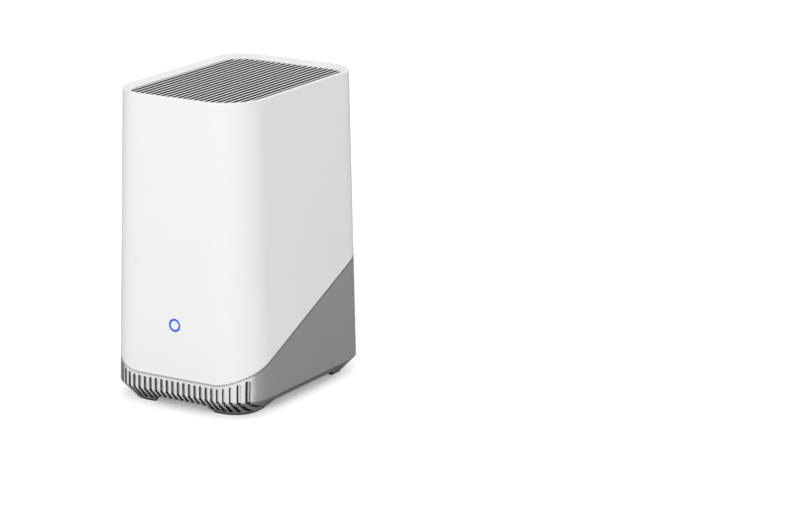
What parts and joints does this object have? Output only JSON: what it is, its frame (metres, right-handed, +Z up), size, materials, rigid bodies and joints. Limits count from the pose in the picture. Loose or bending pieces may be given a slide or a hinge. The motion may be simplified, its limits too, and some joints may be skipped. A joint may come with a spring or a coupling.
{
  "type": "security camera base station",
  "caption": "Upright tapered base station with a slatted top grille, a ribbed skirt on corner feet, a lit status ring, rear sockets and a drive tray that slides out below.",
  "frame": {"origin": "on the floor under the middle of the housing", "axes": "+X to the right seen from the front, the front faces -Y, +Z up"},
  "size_m": [0.096, 0.129, 0.178],
  "materials": {
    "shell_white": "satin moulded plastic",
    "grille_silver": "silver paint on plastic",
    "skirt_silver": "satin metallic grey paint on plastic",
    "plate_grey": "fine textured plastic",
    "pad_rubber": "soft matt",
    "chassis_black": "textured",
    "screw_steel": "zinc plated",
    "tray_steel": "rolled sheet",
    "board_green": "solder mask",
    "chip_black": "moulded epoxy",
    "pad_grey": "soft silicone",
    "sink_aluminium": "natural anodised",
    "can_steel": "tin plated",
    "socket_black": "moulded",
    "socket_steel": "plated shell",
    "button_grey": "satin",
    "fan_black": "satin",
    "coil_copper": "enamelled wire",
    "cone_black": "pressed pulp",
    "gasket_foam": "closed-cell foam",
    "magnet_steel": "plated",
    "light_blue": "clear ring lit blue",
    "lamp_yellow": "lamp package",
    "cable_black": "soft sleeve",
    "coax_grey": "soft sleeve",
    "ribbon_white": "flat flexible strip"
  },
  "bodies": {
    "housing": {"outer_shell": "shell_white", "top_grille": "grille_silver", "base_shell": "skirt_silver", "base_plate": "plate_grey", "foot_pad_front_left": "pad_rubber", "foot_pad_front_right": "pad_rubber", "foot_pad_rear_left": "pad_rubber", "foot_pad_rear_right": "pad_rubber", "sata_connector": "socket_black", "sata_board": "board_green", "sata_ribbon": "ribbon_white", "chassis": "chassis_black", "main_board": "board_green", "board_screws": "screw_steel", "processor": "chip_black", "memory_chips": "chip_black", "thermal_pad": "pad_grey", "heat_sink": "sink_aluminium", "sink_screws": "screw_steel", "network_shield": "can_steel", "camera_radio_shield": "can_steel", "lan_jack": "socket_steel", "usb_socket": "socket_steel", "power_inlet": "socket_black", "button_switch": "socket_black", "fan_frame": "fan_black", "fan_stator": "coil_copper", "fan_screws": "screw_steel", "fan_lead": "cable_black", "speaker_gasket": "gasket_foam", "speaker_frame": "socket_black", "speaker_cone": "cone_black", "speaker_magnet": "magnet_steel", "speaker_lead": "cable_black", "light_guide": "light_blue", "light_cap": "shell_white", "light_board": "board_green", "leds": "lamp_yellow", "light_lead": "cable_black", "antenna_left": "board_green", "antenna_right": "board_green", "antenna_lead_left": "coax_grey", "antenna_lead_right": "coax_grey", "base_screws": "screw_steel", "shell_screws": "screw_steel"},
    "fan_rotor": {"fan_rotor": "fan_black"},
    "sync_button": {"sync_button": "button_grey", "switch_plunger": "chip_black"},
    "drive_tray": {"drive_tray": "tray_steel", "bay_cover": "plate_grey", "cover_screw": "screw_steel", "drive_case": "sink_aluminium", "drive_lid": "tray_steel", "drive_board": "board_green", "tray_screws": "screw_steel"}
  },
  "joints": [
    {"name": "fan_spin", "type": "hinge", "parent": "housing", "child": "fan_rotor", "pos_m": [0, 0, 0.1595], "axis": [0, 0, 1], "continuous": true},
    {"name": "button_press", "type": "slide", "parent": "housing", "child": "sync_button", "axis": [0, -1, 0], "range_m": [0, 0.0005], "stiffness_N_per_m": 3000},
    {"name": "tray_slide", "type": "slide", "parent": "housing", "child": "drive_tray", "axis": [0, 0, -1], "range_m": [0, 0.11]}
  ]
}
